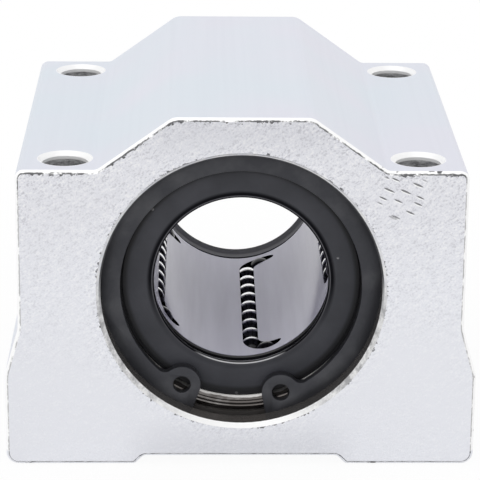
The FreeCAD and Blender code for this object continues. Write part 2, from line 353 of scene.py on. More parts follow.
@dataclass(frozen=True)
class AnodisedBlock:
    """Clear anodised extrusion with sawn end faces and bright edges cut through the anodising, and painted
    shade in the bores.

    crown, slope and shoulder give the outline of the end faces: the corner of the crown, the direction square
    to the slopes, and the corner of the shoulders, each as (across, up).
    """

    name: str = "anodised_block"
    extruded: Colour = (0.70, 0.755, 0.82)
    tinted: Colour = (0.735, 0.742, 0.822)
    lined: Colour = (0.965, 0.965, 0.97)
    sawn: Colour = (0.80, 0.81, 0.855)
    sawn_dark: Colour = (0.56, 0.56, 0.60)
    sawn_bright: Colour = (0.95, 0.95, 0.96)
    darker_tone: Colour = (0.90, 0.90, 0.905)
    darker_tone_above: Colour = (0.955, 0.95, 0.95)
    # Bare cut metal, also used as the painted highlight on the bolt holes' upper walls and beside the
    # scratches.
    bare_and_highlight: Colour = (0.99, 0.99, 0.99)
    # Near black: painted shade for the bore and the circlip grooves.
    painted_bore_shade: Colour = (0.13, 0.122, 0.118)
    # Tones of the bolt holes' walls: drill rings, darkened with painted shade.
    drilled_dark: Colour = (0.15, 0.15, 0.155)
    drilled_pale: Colour = (0.58, 0.58, 0.59)
    # Dark burrs and scratches, also used for the painted shadow round the bore's mouth.
    burr_and_shadow: Colour = (0.06, 0.06, 0.065)
    mouth_dark: Colour = (0.40, 0.40, 0.41)
    mouth_pale: Colour = (0.86, 0.86, 0.86)
    half_length: float = 25.0 * MM
    chamfer: float = 0.4 * MM
    cut_from: tuple[float, float] = (24.44 * MM, 24.49 * MM)
    mouth_radius: float = 16.5 * MM
    groove_radius: float = 16.95 * MM
    bolt_offset: float = 20.0 * MM
    countersink_radius: float = 3.1 * MM
    crown: tuple[float, float] = (7.8 * MM, 20.5 * MM)
    slope: tuple[float, float] = (0.583, 0.8125)
    shoulder: tuple[float, float] = (25.4 * MM, 14.4 * MM)
    flange_top: float = -8.0 * MM
    flare_top: float = 12.5 * MM
    base_edge: float = -19.2 * MM
    side_inset: float = 0.25 * MM
    mouth_outset: float = 0.47 * MM
    drilled_top: float = 13.6 * MM
    scuffed_corner: Point = (18.0 * MM, -25.0 * MM, 11.7 * MM)
    scuffed_reach: float = 3.2 * MM
    scuff_depth: float = 2.5
    relief_depth: float = 0.06 * MM

    def material(self) -> bpy.types.Material:
        """Build the material.

        Returns:
            The finished material.
        """
        recipe = Recipe(self.name, roughness=0.42, metallic=0.3)
        end_face = self.end_face(recipe)
        cut_edge = self.cut_edge(recipe, end_face)
        in_bore = recipe.window(recipe.radius(), self.groove_radius, self.groove_radius - 0.05 * MM)
        in_bore = recipe.larger(recipe.minus(in_bore, recipe.larger(end_face, cut_edge)), 0.0)
        in_bolt_hole = self.in_bolt_hole(recipe)
        grain = self.grain(recipe)
        scuffs = self.scuffs(recipe, 0.0)

        colour = recipe.blend(end_face, self.drawn_colour(recipe), self.sawn_colour(recipe, grain, scuffs))
        colour = recipe.blend(cut_edge, colour, self.edge_colour(recipe))
        # Countersinks are bare metal. The top of each hole wall, above drilled_top, keeps this pale colour as
        # a painted highlight.
        colour = recipe.blend(in_bolt_hole, colour, self.bare_and_highlight)
        # Below that, the hole walls get drill rings over a dark grey, which is partly painted shade.
        colour = recipe.blend(self.drilled(recipe, in_bolt_hole), colour, self.drilled_and_shaded_colour(recipe))
        # Painted shade: the bore and the circlip grooves get a near-black colour for the shadow under the
        # circlips.
        colour = recipe.blend(in_bore, colour, self.painted_bore_shade)
        relief = recipe.minus(grain, recipe.times(scuffs, self.scuff_depth))
        height = recipe.times(relief, recipe.window(end_face, -0.08, 1.0))
        recipe.join(recipe.window(in_bore, -1.5, 3.5), recipe.shader.inputs["Metallic"])
        satin = recipe.minus(end_face, recipe.times(in_bore, 0.7))
        recipe.finish(colour, recipe.window(satin, -1.6, 2.6), height, self.relief_depth)
        return recipe.material

    def end_face(self, recipe: Recipe) -> Socket:
        """1 on the flat end faces and 0 elsewhere."""
        end = recipe.window(recipe.away(Axis.Y), self.half_length - 0.1 * MM, self.half_length - 0.05 * MM)
        return recipe.times(recipe.window(recipe.facing(Axis.Y), 0.95, 0.99), end)

    def cut_edge(self, recipe: Recipe, end_face: Socket) -> Socket:
        """1 on the chamfers of the end faces and 0 elsewhere."""
        slanting = recipe.minus(recipe.window(recipe.facing(Axis.Y), 0.25, 0.45), end_face)
        return recipe.times(slanting, recipe.window(recipe.away(Axis.Y), *self.cut_from))

    def in_bolt_hole(self, recipe: Recipe) -> Socket:
        """Where the bolt holes and their countersinks are.

        Args:
            recipe: The material in the making.

        Returns:
            1 in a hole and 0 elsewhere.
        """
        aside = recipe.minus(recipe.away(Axis.X), self.bolt_offset)
        along = recipe.minus(recipe.away(Axis.Y), self.bolt_offset)
        from_axis = recipe.diagonal(aside, along)
        return recipe.window(from_axis, self.countersink_radius + 0.1 * MM, self.countersink_radius)

    def drilled(self, recipe: Recipe, in_bolt_hole: Socket) -> Socket:
        """1 on the bolt holes' walls, below a band of painted highlight at their upper end, and 0 elsewhere.
        """
        low = recipe.window(recipe.coordinate(Axis.Z), self.drilled_top, self.drilled_top - 0.12 * MM)
        return recipe.times(recipe.times(in_bolt_hole, recipe.window(recipe.facing(Axis.Z), 0.3, 0.25)), low)

    def outline_depth(self, recipe: Recipe) -> Socket:
        """How far a point of the end face lies from the block's outline and the bore's mouth.

        Args:
            recipe: The material in the making.

        Returns:
            The distance, in metres. Beside the flanges it is 10 mm or more.
        """
        aside = recipe.away(Axis.X)
        up = recipe.coordinate(Axis.Z)
        under_crown = recipe.minus(self.crown[1], up)
        run = recipe.times(recipe.minus(self.crown[0], aside), self.slope[0])
        under_slope = recipe.plus(run, recipe.times(under_crown, self.slope[1]))
        in_crown = recipe.smaller(under_crown, under_slope)
        from_side = recipe.minus(self.shoulder[0] + self.side_inset, aside)
        in_body = recipe.smaller(recipe.minus(self.shoulder[1], up), from_side)
        below = recipe.window(up, self.flange_top, self.flange_top - 1.0 * MM)
        in_body = recipe.larger(in_body, recipe.times(below, 10.0 * MM))
        from_mouth = recipe.minus(recipe.radius(), self.mouth_radius - self.mouth_outset)
        return recipe.smaller(recipe.larger(in_crown, in_body), from_mouth)

    def grain(self, recipe: Recipe) -> Socket:
        """Relief of the sawn faces: short torn strokes over a fine sandy grain.

        Args:
            recipe: The material in the making.

        Returns:
            The relief, from 0 to 1.
        """
        sandy = recipe.noise(4200.0, detail=1.0, roughness=0.7)
        slanting = recipe.stretched((2.2, 1.0, 1.0), (0.0, -0.6, 0.0))
        strokes = recipe.noise(3900.0, detail=1.0, roughness=0.7, place=slanting)
        return recipe.plus(recipe.times(sandy, 0.5), recipe.times(strokes, 0.5))

    def scuffs(self, recipe: Recipe, lift: float) -> Socket:
        """Short slanting scratches, gathered in one corner of the front end face.

        Args:
            recipe: The material in the making.
            lift: How far up the face they are moved, in metres.

        Returns:
            1 in a scratch and 0 beside it.
        """
        uneven = recipe.times(recipe.noise(600.0, detail=1.0), 0.22)
        strokes = recipe.cells(470.0, recipe.on_face((1.8, 0.30), -0.42, lift))
        short = recipe.window(recipe.plus(strokes, uneven), 0.27, 0.20)
        corner = recipe.node("ShaderNodeVectorMath", operation="DISTANCE")
        recipe.join(recipe.place, corner.inputs[0])
        corner.inputs[1].default_value = self.scuffed_corner
        near = recipe.window(corner.outputs["Value"], self.scuffed_reach, self.scuffed_reach - 0.6 * MM)
        return recipe.times(short, near)

    def sawn_colour(self, recipe: Recipe, grain: Socket, scuffs: Socket) -> Socket:
        """Colour of the end faces: pale and sandy, torn beside the edges, darker by the bore and above its
        middle, with painted scratch highlights.

        Args:
            recipe: The material in the making.
            grain: Relief of the face.
            scuffs: The scratches.

        Returns:
            The colour.
        """
        up = recipe.coordinate(Axis.Z)
        depth = self.outline_depth(recipe)
        torn = recipe.window(recipe.noise(55.0, detail=3.0), 0.36, 0.62)
        high = recipe.window(up, -14.0 * MM, 6.0 * MM)
        frayed = recipe.window(depth, 2.4 * MM, 0.4 * MM)
        share = recipe.window(recipe.plus(recipe.plus(torn, high), frayed), 0.3, 3.2)
        hollow = recipe.times(recipe.window(grain, 0.47, 0.38), share)
        colour = recipe.blend(hollow, self.sawn, self.sawn_dark)
        crest = recipe.times(recipe.window(grain, 0.53, 0.62), recipe.window(share, -0.3, 1.2))
        colour = recipe.blend(crest, colour, self.sawn_bright)

        # Darker over and under the bore, where the face is narrow, and darker above the bore's middle.
        beyond_bore = recipe.window(recipe.away(Axis.Z), 15.0 * MM, 18.5 * MM)
        narrow = recipe.window(recipe.away(Axis.X), 14.0 * MM, 9.0 * MM)
        colour = recipe.blend(recipe.times(beyond_bore, narrow), colour, self.darker_tone, Blend.MULTIPLY)
        colour = recipe.blend(recipe.window(up, 0.0, 10.0 * MM), colour, self.darker_tone_above, Blend.MULTIPLY)

        # Painted highlight: the scratches again, moved a little down the face, in pale metal along their
        # lower lips.
        lit = self.scuffs(recipe, -0.15 * MM)
        colour = recipe.blend(recipe.times(lit, 0.9), colour, self.bare_and_highlight)
        colour = recipe.blend(recipe.times(scuffs, 0.75), colour, self.burr_and_shadow)
        ragged = recipe.times(recipe.window(recipe.noise(2400.0, detail=2.0), 0.42, 0.72), 0.38 * MM)
        beside_edge = recipe.window(recipe.minus(depth, ragged), self.chamfer, self.chamfer - 0.05 * MM)
        broken = recipe.window(recipe.noise(420.0, detail=4.0, roughness=0.7), 0.49, 0.54)
        blots = recipe.times(beside_edge, broken)
        return recipe.blend(recipe.times(blots, 0.9), colour, self.burr_and_shadow)

    def drawn_colour(self, recipe: Recipe) -> Socket:
        """Colour of the extruded faces: broad pale tints, with faint lines along the extrusion.

        Args:
            recipe: The material in the making.

        Returns:
            The colour.
        """
        tint = recipe.window(recipe.noise(38.0, detail=2.0), 0.38, 0.62)
        colour = recipe.blend(tint, self.extruded, self.tinted)
        lines = recipe.noise(1400.0, detail=4.0, place=recipe.stretched((1.0, 100.0, 1.0)))
        return recipe.blend(recipe.window(lines, 0.45, 0.95), colour, self.lined, Blend.MULTIPLY)

    def drilled_and_shaded_colour(self, recipe: Recipe) -> Socket:
        """Colour of the bolt holes' walls: rings left by the drill over a dark grey that is partly painted
        shade.
        """
        rings = recipe.noise(1300.0, detail=5.0, roughness=0.8, place=recipe.stretched((1.4, 1.4, 0.4)))
        return recipe.blend(recipe.window(rings, 0.38, 0.62), self.drilled_dark, self.drilled_pale)

    def edge_colour(self, recipe: Recipe) -> Socket:
        """Colour of the machined edges: bright, with a broken dark burr beside the end face.

        Args:
            recipe: The material in the making.

        Returns:
            The colour.
        """
        up = recipe.coordinate(Axis.Z)
        inward = recipe.minus(self.half_length, recipe.away(Axis.Y))
        ragged = recipe.times(recipe.noise(1800.0, detail=3.0), 0.6 * self.chamfer)
        behind = recipe.minus(inward, ragged)
        beside_face = recipe.window(behind, 0.12 * self.chamfer, -0.04 * self.chamfer)
        broken = recipe.window(recipe.noise(520.0, detail=5.0, roughness=0.7), 0.40, 0.50)
        nicks = recipe.window(recipe.noise(300.0, detail=3.0, roughness=0.7), 0.66, 0.69)
        dark = recipe.larger(recipe.times(beside_face, broken), nicks)

        outline = recipe.window(recipe.radius(), self.mouth_radius, self.mouth_radius + 0.3 * MM)
        upright = recipe.window(up, self.flare_top, self.flare_top - 1.0 * MM)
        strength = recipe.minus(recipe.window(outline, -0.75, 1.1), recipe.times(upright, 0.4))
        at_base = recipe.window(up, self.base_edge, self.base_edge - 0.3 * MM)
        dark = recipe.times(dark, recipe.larger(strength, at_base))
        dark = recipe.larger(dark, recipe.times(recipe.times(beside_face, at_base), 0.7))

        bright = recipe.blend(at_base, self.bare_and_highlight, self.sawn)
        mouth = recipe.window(recipe.radius(), self.mouth_radius + 0.12 * MM, self.mouth_radius + 0.06 * MM)
        above_bottom = recipe.window(up, -15.5 * MM, -12.0 * MM)
        bright = recipe.blend(recipe.times(mouth, above_bottom), bright, self.mouth_colour(recipe))
        return recipe.blend(dark, bright, self.burr_and_shadow)

    def mouth_colour(self, recipe: Recipe) -> Socket:
        """Colour of the chamfer round the bore: worn in streaks, cleaner above, with a thin painted shadow
        along its upper inner rim.

        Args:
            recipe: The material in the making.

        Returns:
            The colour.
        """
        streaks = recipe.window(recipe.noise(900.0, detail=4.0, roughness=0.7), 0.38, 0.62)
        worn = recipe.blend(streaks, self.mouth_dark, self.mouth_pale)
        clean = recipe.blend(streaks, self.sawn, self.bare_and_highlight)
        above = recipe.window(recipe.coordinate(Axis.Z), -3.0 * MM, 2.0 * MM)
        # Painted shadow: a thin dark line along the chamfer's inner rim, fading out below the middle.
        rim = recipe.window(recipe.radius(), self.mouth_radius - 0.28 * MM, self.mouth_radius - 0.34 * MM)
        return recipe.blend(recipe.times(rim, above), recipe.blend(above, worn, clean), self.burr_and_shadow)


@dataclass(frozen=True)
class DarkMetal:
    """Phosphated spring steel, dark with a slight sheen."""

    name: str
    colour: Colour = (0.040, 0.041, 0.048)
    rubbed_and_lit: Colour = (0.085, 0.086, 0.093)
    relief_depth: float = 0.012 * MM

    def material(self) -> bpy.types.Material:
        """Build the material.

        Returns:
            The finished material.
        """
        recipe = Recipe(self.name, roughness=0.40, metallic=0.55)
        cloud = recipe.noise(260.0, detail=4.0)
        fine = recipe.noise(3800.0, detail=3.0)
        colour = recipe.blend(recipe.window(cloud, 0.44, 0.88), self.colour, self.rubbed_and_lit)
        recipe.finish(colour, recipe.window(fine, -1.6, 2.6), fine, self.relief_depth)
        return recipe.material


@dataclass(frozen=True)
class MouldedRubber:
    """Matt black rubber with a fine grain and a little dust, with painted shade round the lip and the rim,
    and painted highlights on the lip.

    lip_back is how far the back of the lip lies from the part's middle. The widths are counted outwards from
    the lip's edge.
    """

    name: str = "seal_rubber"
    colour: Colour = (0.021, 0.022, 0.029)
    worn: Colour = (0.038, 0.039, 0.049)
    # Pale grey: dust motes on the face, and the painted highlight on the lip's lower edge.
    dust_and_highlight: Colour = (0.55, 0.55, 0.56)
    # Near black: painted shade round the lip and the rim.
    painted_shade: Colour = (0.002, 0.002, 0.003)
    # Pale grey for the back of the lip: painted light around the far opening.
    rubbed_and_lit: Colour = (0.21, 0.21, 0.22)
    lit: Colour = (0.060, 0.060, 0.070)
    rim_radius: float = 13.1 * MM
    lip_radius: float = 10.06 * MM
    lip_back: float = 20.42 * MM
    edge_width: float = 0.12 * MM
    tip_width: float = 0.26 * MM
    undercut_width: float = 0.50 * MM
    shade_band_width: float = 0.85 * MM
    shade_band_fade: float = 0.35 * MM
    bottom: float = -8.6 * MM
    specular: float = 0.5
    relief_depth: float = 0.02 * MM

    def material(self) -> bpy.types.Material:
        """Build the material.

        Returns:
            The finished material.
        """
        recipe = Recipe(self.name, roughness=0.62)
        cloud = recipe.noise(230.0, detail=3.0)
        motes = recipe.window(recipe.cells(330.0, recipe.on_face((1.0, 1.0))), 0.07, 0.04)
        rare = recipe.window(recipe.noise(420.0, detail=1.0), 0.60, 0.64)
        colour = recipe.blend(recipe.window(cloud, 0.35, 0.8), self.colour, self.worn)
        colour = recipe.blend(recipe.times(motes, rare), colour, self.dust_and_highlight)
        # Painted shade on the outer rim, in the crevice under the circlip.
        rim = recipe.window(recipe.radius(), self.rim_radius - 0.2 * MM, self.rim_radius + 0.2 * MM)
        colour = recipe.blend(recipe.times(rim, 0.85), colour, self.painted_shade)
        colour = self.lip_colour(recipe, colour)
        recipe.finish(colour, None, recipe.noise(2200.0, detail=4.0, roughness=0.6), self.relief_depth)
        return recipe.material

    def ring(self, recipe: Recipe, width: float, fade: float) -> Socket:
        """1 in a ring beside the lip's edge, whose outer part fades, and 0 outside it."""
        return recipe.window(recipe.radius(), self.lip_radius + width, self.lip_radius + width - fade)

    def lip_colour(self, recipe: Recipe, colour: Socket) -> Socket:
        """Colour of the lip over the seal's own: painted shade in and round it, painted highlights on its tip
        and lower edge, and less shine where shade is painted.

        Args:
            recipe: The material in the making.
            colour: Colour of the rest of the seal.

        Returns:
            The colour.
        """
        up = recipe.coordinate(Axis.Z)
        outwards = recipe.away(Axis.Y)
        wall = self.ring(recipe, 0.0, 0.03 * MM)
        behind = recipe.window(outwards, self.lip_back, self.lip_back - 0.04 * MM)
        back = recipe.times(self.ring(recipe, self.undercut_width, 0.04 * MM), behind)
        # Painted shade on the lip's inner wall.
        colour = recipe.blend(wall, colour, self.painted_shade)
        # Painted light: the back of the lip, seen through the bore around the far opening, is painted pale
        # grey.
        colour = recipe.blend(back, colour, self.rubbed_and_lit)

        in_front = recipe.window(outwards, self.lip_back, self.lip_back + 0.04 * MM)
        shade_band = recipe.times(self.ring(recipe, self.shade_band_width, self.shade_band_fade), in_front)
        above = recipe.window(up, -6.0 * MM, 0.0)
        shade_band = recipe.times(shade_band, recipe.window(above, -0.25, 1.1))
        tip = recipe.times(shade_band, self.ring(recipe, self.tip_width, 0.04 * MM))
        edge = self.ring(recipe, self.edge_width, 0.03 * MM)
        edge = recipe.larger(recipe.minus(edge, recipe.larger(wall, back)), 0.0)
        # Painted shade in a band over the lip's face, strongest towards the top.
        colour = recipe.blend(recipe.times(shade_band, 0.95), colour, self.painted_shade)
        colour = recipe.blend(tip, colour, self.lit)
        # Painted shadow: a thin dark outline round the lip's edge.
        colour = recipe.blend(edge, colour, self.painted_shade)
        # Painted highlight: pale colour on the lower part of the lip's edge, where light from above catches
        # it.
        low = recipe.window(up, self.bottom, self.bottom - 0.8 * MM)
        colour = recipe.blend(recipe.times(edge, low), colour, self.dust_and_highlight)

        # Where shade is painted, the rubber gives no specular shine.
        painted_shade_marks = recipe.larger(recipe.minus(shade_band, tip), edge)
        shine = recipe.times(recipe.window(painted_shade_marks, 1.0, 0.0), self.specular)
        recipe.join(shine, recipe.shader.inputs["Specular IOR Level"])
        return colour


@dataclass(frozen=True)
class TurnedSteel:
    """Bearing steel with turned end faces, stained outside the rim, with painted shade inside it."""

    name: str
    colour: Colour = (0.52, 0.51, 0.50)
    stained: Colour = (0.115, 0.105, 0.10)
    # Near black: painted shade inside the bore.
    painted_shade: Colour = (0.030, 0.030, 0.033)
    rim_radius: float = 14.50 * MM
    inner_radius: float = 14.05 * MM
    waviness: float = 0.35 * MM
    ridge_pitch: float = 0.45 * MM
    relief_depth: float = 0.03 * MM

    def material(self) -> bpy.types.Material:
        """Build the material.

        Returns:
            The finished material.
        """
        recipe = Recipe(self.name, roughness=0.30, metallic=0.9)
        rings = recipe.sum(Sum.SINE, recipe.times(recipe.radius(), math.tau / self.ridge_pitch))
        ridges = recipe.times(rings, recipe.window(recipe.facing(Axis.Y), 0.9, 0.98))
        stain = recipe.window(recipe.noise(300.0, detail=4.0), 0.10, 0.45)
        wavy = recipe.plus(recipe.radius(), recipe.times(recipe.noise(700.0, detail=2.0), self.waviness))
        past_rim = recipe.window(wavy, self.rim_radius, self.rim_radius + 0.06 * MM)
        at_end = recipe.times(recipe.window(recipe.facing(Axis.Y), 0.5, 0.6), past_rim)
        colour = recipe.blend(recipe.times(stain, at_end), self.colour, self.stained)
        # Painted shade on everything inside inner_radius: the sleeve's bore and the inner rings.
        inside = recipe.window(recipe.radius(), self.inner_radius, self.inner_radius - 0.05 * MM)
        colour = recipe.blend(inside, colour, self.painted_shade)
        recipe.finish(colour, None, ridges, self.relief_depth)
        return recipe.material


@dataclass(frozen=True)
class PolishedSteel:
    """Mirror-bright ball steel with a painted reflection: a bright band where it rolls, painted dark towards
    the next ball.
    """

    name: str = "ball_steel"
    colour: Colour = (0.86, 0.86, 0.87)
    painted_dark_reflection: Colour = (0.05, 0.05, 0.052)
    filmed: Colour = (0.70, 0.70, 0.72)
    painted_shade: Colour = (0.03, 0.03, 0.032)
    row_end: float = 12.9 * MM

    def material(self) -> bpy.types.Material:
        """Build the material.

        Returns:
            The finished material.
        """
        recipe = Recipe(self.name, roughness=0.09, metallic=1.0)
        film = recipe.noise(500.0, detail=2.0)
        # Painted reflection: bright where the surface faces across the shaft, dark where it faces along it.
        colour = recipe.blend(recipe.window(recipe.facing(Axis.Y), 0.20, 0.40), self.colour, self.painted_dark_reflection)
        colour = recipe.blend(recipe.window(film, 0.3, 1.6), colour, self.filmed, Blend.MULTIPLY)
        # Painted shade on the balls in the turns, beyond the end of the straight row.
        turning = recipe.window(recipe.away(Axis.Y), self.row_end, self.row_end + 0.3 * MM)
        colour = recipe.blend(turning, colour, self.painted_shade)
        recipe.finish(colour, recipe.window(film, -0.6, 6.0), None, 0.0)
        return recipe.material


@dataclass(frozen=True)
class CageResin:
    """Smooth grey cage resin with faint flow marks along the bore, and painted shade outside the bore's
    radius.
    """

    name: str = "cage_resin"
    colour: Colour = (0.44, 0.43, 0.54)
    pale: Colour = (0.56, 0.55, 0.67)
    painted_slot_shade: Colour = (0.012, 0.012, 0.014)
    bore_radius: float = 10.3 * MM
    relief_depth: float = 0.003 * MM

    def material(self) -> bpy.types.Material:
        """Build the material.

        Returns:
            The finished material.
        """
        recipe = Recipe(self.name, roughness=0.24, metallic=0.1)
        flow = recipe.noise(420.0, detail=3.0, place=recipe.stretched((1.0, 12.0, 1.0)))
        fine = recipe.noise(2500.0, detail=3.0)
        colour = recipe.blend(recipe.window(flow, 0.3, 0.75), self.colour, self.pale)
        # Painted shade on the slot walls and channels, outside the bore's radius.
        outside = recipe.window(recipe.radius(), self.bore_radius + 0.02 * MM, self.bore_radius + 0.08 * MM)
        colour = recipe.blend(outside, colour, self.painted_slot_shade)
        recipe.finish(colour, recipe.window(fine, -0.8, 6.0), fine, self.relief_depth)
        return recipe.material


# ---- Modelling helpers ----
class End(Enum):
    """The two ends of the block, by the side of the middle they are on along Y."""

    FRONT = -1
    REAR = 1

    @property
    def word(self) -> str:
        """The end's name in the names of pieces."""
        return self.name.lower()


def deselect_all() -> None:
    """Leave object mode clean, with nothing selected."""
    if bpy.context.mode != "OBJECT":
        bpy.ops.object.mode_set(mode="OBJECT")
    bpy.ops.object.select_all(action="DESELECT")


def edit_only(piece: Piece) -> None:
    """Open one piece in edit mode, with everything in it selected.

    Args:
        piece: The piece.
    """
    deselect_all()
    piece.select_set(True)
    bpy.context.view_layer.objects.active = piece
    bpy.ops.object.mode_set(mode="EDIT")
    bpy.ops.mesh.select_mode(type="VERT")
    bpy.ops.mesh.select_all(action="SELECT")


def new_piece(name: str) -> Piece:
    """Name the object that was just added, and give it back."""
    bpy.context.active_object.name = bpy.context.active_object.data.name = name
    return bpy.context.active_object


def soften_edges(piece: Piece, width: float, sharpness: float, segments: int = 2) -> None:
    """Round the sharp edges of a piece and shade the rest smooth.

    Args:
        piece: The piece to finish.
        width: Width of the rounding, in metres.
        sharpness: Edges that turn by more than this many degrees are rounded.
        segments: Strips across the rounding.
    """
    edit_only(piece)
    bpy.ops.mesh.select_mode(type="EDGE")
    bpy.ops.mesh.select_all(action="DESELECT")
    bpy.ops.mesh.edges_select_sharp(sharpness=math.radians(sharpness))
    bpy.ops.mesh.bevel(offset=width, segments=segments, affect="EDGES", clamp_overlap=True)
    bpy.ops.mesh.select_all(action="SELECT")
    bpy.ops.mesh.normals_make_consistent(inside=False)
    bpy.ops.object.mode_set(mode="OBJECT")
    bpy.ops.object.shade_smooth_by_angle(angle=math.radians(sharpness))


def merged_copy(node: Piece, name: str) -> Piece:
    """Copy of a CAD node whose facets are joined along their shared edges.

    Args:
        node: The CAD node.
        name: Name of the copy.

    Returns:
        The copy, at the node's place.
    """
    copy = bpy.data.objects.new(name, node.data.copy())
    bpy.context.scene.collection.objects.link(copy)
    if copy.data.has_custom_normals:
        edit_only(copy)
        bpy.ops.mesh.customdata_custom_splitnormals_clear()
    edit_only(copy)
    bpy.ops.mesh.remove_doubles(threshold=0.001 * MM)
    bpy.ops.mesh.dissolve_limited(angle_limit=math.radians(0.1))
    bpy.ops.object.mode_set(mode="OBJECT")
    return copy


def ring_from_profile(name: str, profile: list[tuple[float, float]], segments: int) -> Piece:
    """Ring about the shaft axis, drawn out loop by loop from a circle.

    Args:
        name: Name of the piece.
        profile: Closed outline of (radius, y) points, in metres.
        segments: Sides of the ring.

    Returns:
        The closed ring.
    """
    deselect_all()
    radius, level = profile[0]
    bpy.ops.mesh.primitive_circle_add(
        vertices=segments, radius=radius, location=(0.0, level, 0.0), rotation=(math.pi / 2, 0.0, 0.0)
    )
    ring = new_piece(name)
    bpy.ops.object.transform_apply(location=True, rotation=True, scale=True)
    edit_only(ring)
    for next_radius, next_level in profile[1:]:
        bpy.ops.mesh.extrude_edges_move(TRANSFORM_OT_translate={"value": (0.0, next_level - level, 0.0)})
        grow = next_radius / radius
        bpy.ops.transform.resize(value=(grow, 1.0, grow), center_override=(0.0, next_level, 0.0))
        radius, level = next_radius, next_level
    bpy.ops.mesh.select_mode(type="EDGE")
    bpy.ops.mesh.select_all(action="DESELECT")
    bpy.ops.mesh.select_non_manifold()
    bpy.ops.mesh.bridge_edge_loops()
    bpy.ops.object.mode_set(mode="OBJECT")
    return ring


# ---- Sub-assemblies ----
@dataclass
class SubAssembly:
    """A group of pieces that belong together, on top of the CAD nodes."""

    nodes: dict[str, Piece]
    materials: dict[str, bpy.types.Material]

    def paint(self, piece: Piece, slot: str) -> None:
        """Give a piece the material of a record slot, all over."""
        piece.data.materials.clear()
        piece.data.materials.append(self.materials[slot])

    def dress_node(self, name: str, slot: str) -> None:
        """Give a CAD node its finish."""
        self.paint(self.nodes[name], slot)
        LOG.info("%s: CAD node in %s", name, slot)

    def hand_over(self, piece: Piece, slot: str, *stands_for: str) -> None:
        """Dress a new piece, fix it to the body and hide the CAD nodes it stands for.

        Args:
            piece: The finished piece.
            slot: Its material slot in the record.
            stands_for: CAD nodes it takes the place of.
        """
        self.paint(piece, slot)
        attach(piece, BODY)
        if stands_for:
            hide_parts(*stands_for)
        LOG.info("%s: %d faces in %s", piece.name, len(piece.data.polygons), slot)


@dataclass
class HousingBlock(SubAssembly):
    """The extruded block, with the thread that is cut up into each bolt hole from the base."""

    spacing: float = 40.0 * MM
    base: float = -21.0 * MM
    wall_radius: float = 2.6 * MM
    crest: float = 0.13 * MM
    crest_height: float = 2.2
    bite: float = 0.01 * MM
    pitch: float = 1.0 * MM
    turns: int = 11
    lead_in: float = 0.55 * MM
    sides: int = 32
    smooth_under: float = 40.0

    def dress(self) -> None:
        """Finish the block itself."""
        self.dress_node("housing_block", "anodised_block")

    def build(self) -> None:
        """Model one thread and copy it into the four holes."""
        ridges = [self.thread()]
        places = [(x, y) for x in (-0.5, 0.5) for y in (-0.5, 0.5)]
        for number in range(2, len(places) + 1):
            copy = ridges[0].copy()
            copy.data = ridges[0].data.copy()
            copy.name = copy.data.name = f"thread_ridge_{number}"
            bpy.context.scene.collection.objects.link(copy)
            ridges.append(copy)
        for ridge, (x, y) in zip(ridges, places):
            place = (x * self.spacing, y * self.spacing, self.base + self.lead_in)
            ridge.data.transform(Matrix.Translation(place))
            self.hand_over(ridge, "anodised_block")

    def thread(self) -> Piece:
        """First helical ridge, against the wall of a hole at the origin.

        Returns:
            The closed ridge.
        """
        deselect_all()
        bpy.ops.mesh.primitive_circle_add(vertices=3, radius=self.crest, fill_type="NGON")
        ridge = new_piece("thread_ridge_1")
        edit_only(ridge)
        bpy.ops.transform.rotate(value=math.pi / 2, orient_axis="X", center_override=(0.0, 0.0, 0.0))
        bpy.ops.transform.resize(value=(1.0, 1.0, self.crest_height), center_override=(0.0, 0.0, 0.0))
        bpy.ops.object.mode_set(mode="OBJECT")
        reach = max(vertex.co.x for vertex in ridge.data.vertices)
        ridge.data.transform(Matrix.Translation((self.wall_radius - reach + self.bite, 0.0, 0.0)))
        winding = ridge.modifiers.new("winding", "SCREW")
        winding.axis = "Z"
        winding.angle = math.tau
        winding.screw_offset = self.pitch
        winding.iterations = self.turns
        winding.steps = self.sides
        winding.use_merge_vertices = False
        bpy.ops.object.modifier_apply(modifier=winding.name)
        edit_only(ridge)
        bpy.ops.mesh.remove_doubles(threshold=0.0005 * MM)
        bpy.ops.mesh.normals_make_consistent(inside=False)
        bpy.ops.object.mode_set(mode="OBJECT")
        bpy.ops.object.shade_smooth_by_angle(angle=math.radians(self.smooth_under))
        return ridge


@dataclass
class RetainingRings(SubAssembly):
    """The two circlips, with the edges that stamping rounds."""

    rounding: float = 0.11 * MM
    sharp_over: float = 40.0

    def build(self) -> None:
        """Model both circlips over their CAD nodes."""
        for end in End:
            node = f"{end.word}_circlip"
            clip = merged_copy(self.nodes[node], f"{node}_stamped")
            soften_edges(clip, self.rounding, self.sharp_over)
            self.hand_over(clip, "circlip_steel", node)


